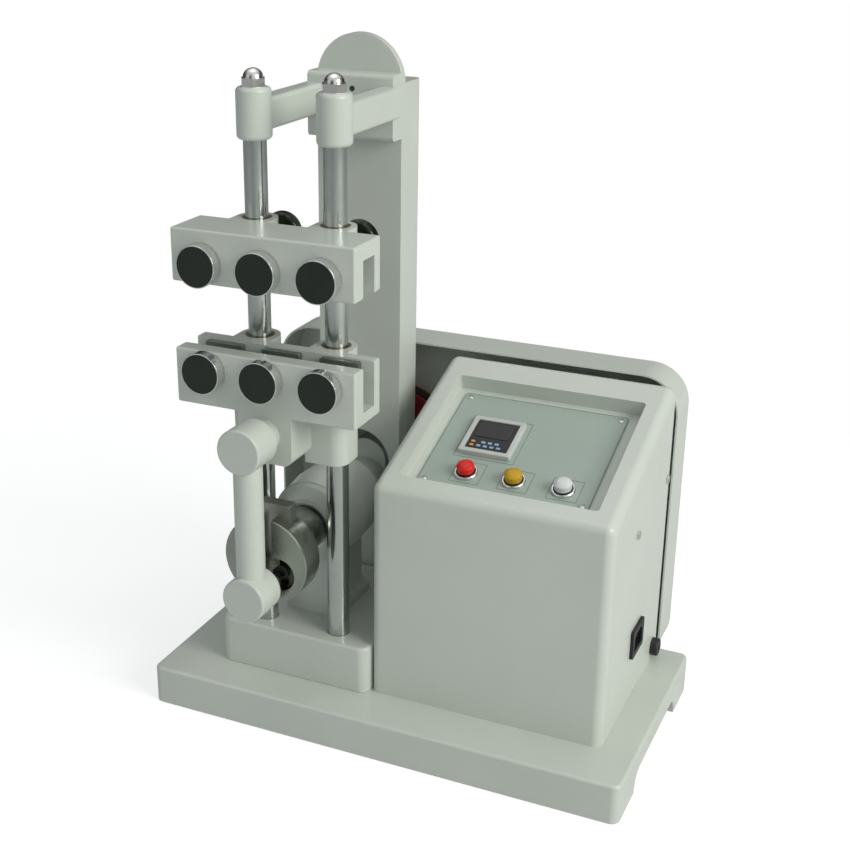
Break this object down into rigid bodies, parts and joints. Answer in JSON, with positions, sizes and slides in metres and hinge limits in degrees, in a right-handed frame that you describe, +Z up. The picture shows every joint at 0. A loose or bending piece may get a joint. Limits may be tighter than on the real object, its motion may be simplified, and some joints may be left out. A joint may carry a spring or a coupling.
{
  "type": "flex cracking tester",
  "caption": "Bench tester that flexes clamped strips between a fixed grip beam and a crank-driven one, with a belt drive and a sloped counter panel.",
  "frame": {"origin": "centre of the whole outline on the surface the machine stands on", "axes": "+X to the operator's right, +Y away from the operator towards the belt guard, +Z up"},
  "size_m": [0.45, 0.327, 0.6035],
  "materials": {
    "casting_paint": "light grey enamel over a machined casting, semi-gloss",
    "sheet_paint": "light grey powder coat on folded sheet",
    "chrome_rod": "hard-chromed and ground",
    "bright_nut": "bright plated",
    "ground_steel": "ground",
    "machined_steel": "turned and lightly oiled",
    "black_oxide": "black oxide",
    "bronze": "bearing bronze",
    "pulley_red": "red enamel on cast iron",
    "cast_pulley": "machined cast iron",
    "belt_rubber": "fabric-faced rubber",
    "motor_paint": "grey-blue enamel",
    "panel_anodised": "matt grey-green lacquered plate",
    "screw_zinc": "zinc plated",
    "counter_black": "fine-textured black",
    "button_ring": "turned ring on a black barrel",
    "inlet_black": "moulded black",
    "jaw_steel": "machined plate",
    "knob_metal": "turned and polished rim on a steel screw",
    "knob_black": "glossy black moulding",
    "button_red": "glossy red",
    "button_yellow": "glossy yellow",
    "button_white": "glossy white"
  },
  "bodies": {
    "frame": {"base_plate": "casting_paint", "pedestal": "casting_paint", "column": "casting_paint", "top_bracket": "casting_paint", "guide_rods": "chrome_rod", "acorn_nuts": "bright_nut", "spindle_housing": "casting_paint", "spindle_bearings": "ground_steel", "belt_guard": "sheet_paint", "drive_belt": "belt_rubber", "motor": "motor_paint", "control_box": "sheet_paint", "panel_plate": "panel_anodised", "panel_screws": "screw_zinc", "counter": "counter_black", "button_bodies": "button_ring", "power_inlet": "inlet_black", "fuse_holder": "inlet_black", "cover_screws": "screw_zinc"},
    "crankshaft": {"spindle": "ground_steel", "crank_disc": "machined_steel", "crank_lock_screw": "black_oxide", "driven_pulley": "pulley_red"},
    "throw_block": {"crank_slide": "machined_steel"},
    "motor_rotor": {"motor_shaft": "ground_steel", "motor_pulley": "cast_pulley"},
    "lower_grip": {"crosshead": "casting_paint", "crosshead_bushes": "bronze", "wrist_pin": "ground_steel"},
    "rod": {"connecting_rod": "casting_paint", "rod_bushes": "bronze", "crank_pin": "ground_steel"},
    "upper_grip": {"upper_beam": "casting_paint", "upper_bushes": "bronze"},
    "lower_jaw_left": {"lower_jaw_left": "jaw_steel"},
    "lower_clamp_left": {"lower_clamp_screw_left": "knob_metal", "lower_knob_face_left": "knob_black"},
    "lower_jaw_middle": {"lower_jaw_middle": "jaw_steel"},
    "lower_clamp_middle": {"lower_clamp_screw_middle": "knob_metal", "lower_knob_face_middle": "knob_black"},
    "lower_jaw_right": {"lower_jaw_right": "jaw_steel"},
    "lower_clamp_right": {"lower_clamp_screw_right": "knob_metal", "lower_knob_face_right": "knob_black"},
    "upper_jaw_left": {"upper_jaw_left": "jaw_steel"},
    "upper_clamp_left": {"upper_clamp_screw_left": "knob_metal", "upper_knob_face_left": "knob_black"},
    "upper_jaw_middle": {"upper_jaw_middle": "jaw_steel"},
    "upper_clamp_middle": {"upper_clamp_screw_middle": "knob_metal", "upper_knob_face_middle": "knob_black"},
    "upper_jaw_right": {"upper_jaw_right": "jaw_steel"},
    "upper_clamp_right": {"upper_clamp_screw_right": "knob_metal", "upper_knob_face_right": "knob_black"},
    "lock_pad_left": {"lock_pad_left": "bronze"},
    "lock_knob_left": {"lock_knob_left": "knob_black"},
    "lock_pad_right": {"lock_pad_right": "bronze"},
    "lock_knob_right": {"lock_knob_right": "knob_black"},
    "red_cap": {"red_button": "button_red"},
    "yellow_cap": {"yellow_button": "button_yellow"},
    "white_cap": {"white_button": "button_white"}
  },
  "joints": [
    {"name": "crank_spin", "type": "hinge", "parent": "frame", "child": "crankshaft", "pos_m": [-0.098, -0.1175, 0.177], "axis": [0, 1, 0], "continuous": true},
    {"name": "throw_adjust", "type": "slide", "parent": "crankshaft", "child": "throw_block", "axis": [0, 0, -1], "range_m": [-0.01, 0.003]},
    {"name": "motor_spin", "type": "hinge", "parent": "frame", "child": "motor_rotor", "pos_m": [0.09, -0.1175, 0.1], "axis": [0, 1, 0], "continuous": true},
    {"name": "crosshead_slide", "type": "slide", "parent": "frame", "child": "lower_grip", "axis": [0, 0, 1], "range_m": [0, 0.04]},
    {"name": "rod_swing", "type": "hinge", "parent": "lower_grip", "child": "rod", "pos_m": [-0.098, -0.1175, 0.293], "axis": [0, 1, 0], "range_deg": [-8.5, 8.5]},
    {"name": "upper_grip_height", "type": "slide", "parent": "frame", "child": "upper_grip", "axis": [0, 0, 1], "range_m": [-0.01, 0.055]},
    {"name": "lower_jaw_left_slide", "type": "slide", "parent": "lower_grip", "child": "lower_jaw_left", "axis": [0, -1, 0], "range_m": [0, 0.012]},
    {"name": "lower_clamp_left_turn", "type": "hinge", "parent": "lower_jaw_left", "child": "lower_clamp_left", "pos_m": [-0.153, -0.1175, 0.3418], "axis": [0, -1, 0], "range_deg": [0, 2160]},
    {"name": "lower_jaw_middle_slide", "type": "slide", "parent": "lower_grip", "child": "lower_jaw_middle", "axis": [0, -1, 0], "range_m": [0, 0.012]},
    {"name": "lower_clamp_middle_turn", "type": "hinge", "parent": "lower_jaw_middle", "child": "lower_clamp_middle", "pos_m": [-0.098, -0.1175, 0.3418], "axis": [0, -1, 0], "range_deg": [0, 2160]},
    {"name": "lower_jaw_right_slide", "type": "slide", "parent": "lower_grip", "child": "lower_jaw_right", "axis": [0, -1, 0], "range_m": [0, 0.012]},
    {"name": "lower_clamp_right_turn", "type": "hinge", "parent": "lower_jaw_right", "child": "lower_clamp_right", "pos_m": [-0.043, -0.1175, 0.3418], "axis": [0, -1, 0], "range_deg": [0, 2160]},
    {"name": "upper_jaw_left_slide", "type": "slide", "parent": "upper_grip", "child": "upper_jaw_left", "axis": [0, -1, 0], "range_m": [0, 0.012]},
    {"name": "upper_clamp_left_turn", "type": "hinge", "parent": "upper_jaw_left", "child": "upper_clamp_left", "pos_m": [-0.153, -0.1175, 0.4342], "axis": [0, -1, 0], "range_deg": [0, 2160]},
    {"name": "upper_jaw_middle_slide", "type": "slide", "parent": "upper_grip", "child": "upper_jaw_middle", "axis": [0, -1, 0], "range_m": [0, 0.012]},
    {"name": "upper_clamp_middle_turn", "type": "hinge", "parent": "upper_jaw_middle", "child": "upper_clamp_middle", "pos_m": [-0.098, -0.1175, 0.4342], "axis": [0, -1, 0], "range_deg": [0, 2160]},
    {"name": "upper_jaw_right_slide", "type": "slide", "parent": "upper_grip", "child": "upper_jaw_right", "axis": [0, -1, 0], "range_m": [0, 0.012]},
    {"name": "upper_clamp_right_turn", "type": "hinge", "parent": "upper_jaw_right", "child": "upper_clamp_right", "pos_m": [-0.043, -0.1175, 0.4342], "axis": [0, -1, 0], "range_deg": [0, 2160]},
    {"name": "lock_pad_left_slide", "type": "slide", "parent": "upper_grip", "child": "lock_pad_left", "axis": [0, 1, 0], "range_m": [0, 0.003]},
    {"name": "lock_knob_left_turn", "type": "hinge", "parent": "lock_pad_left", "child": "lock_knob_left", "pos_m": [-0.135, -0.1175, 0.44], "axis": [0, 1, 0], "range_deg": [0, 720]},
    {"name": "lock_pad_right_slide", "type": "slide", "parent": "upper_grip", "child": "lock_pad_right", "axis": [0, 1, 0], "range_m": [0, 0.003]},
    {"name": "lock_knob_right_turn", "type": "hinge", "parent": "lock_pad_right", "child": "lock_knob_right", "pos_m": [-0.061, -0.1175, 0.44], "axis": [0, 1, 0], "range_deg": [0, 720]},
    {"name": "red_press", "type": "slide", "parent": "frame", "child": "red_cap", "axis": [0, 0.3297, -0.9441], "range_m": [0, 0.0025], "stiffness_N_per_m": 400, "springref_m": -0.001},
    {"name": "yellow_press", "type": "slide", "parent": "frame", "child": "yellow_cap", "axis": [0, 0.3297, -0.9441], "range_m": [0, 0.0025], "stiffness_N_per_m": 400, "springref_m": -0.001},
    {"name": "white_press", "type": "slide", "parent": "frame", "child": "white_cap", "axis": [0, 0.3297, -0.9441], "range_m": [0, 0.0025], "stiffness_N_per_m": 400, "springref_m": -0.001}
  ],
  "couplings": [
    {"joint": "motor_spin", "follows": "crank_spin", "ratio": 2.7857},
    {"joint": "lower_clamp_left_turn", "follows": "lower_jaw_left_slide", "rad_per_m": 3141.6},
    {"joint": "lower_clamp_middle_turn", "follows": "lower_jaw_middle_slide", "rad_per_m": 3141.6},
    {"joint": "lower_clamp_right_turn", "follows": "lower_jaw_right_slide", "rad_per_m": 3141.6},
    {"joint": "upper_clamp_left_turn", "follows": "upper_jaw_left_slide", "rad_per_m": 3141.6},
    {"joint": "upper_clamp_middle_turn", "follows": "upper_jaw_middle_slide", "rad_per_m": 3141.6},
    {"joint": "upper_clamp_right_turn", "follows": "upper_jaw_right_slide", "rad_per_m": 3141.6},
    {"joint": "lock_knob_left_turn", "follows": "lock_pad_left_slide", "rad_per_m": 4188.8},
    {"joint": "lock_knob_right_turn", "follows": "lock_pad_right_slide", "rad_per_m": 4188.8}
  ]
}
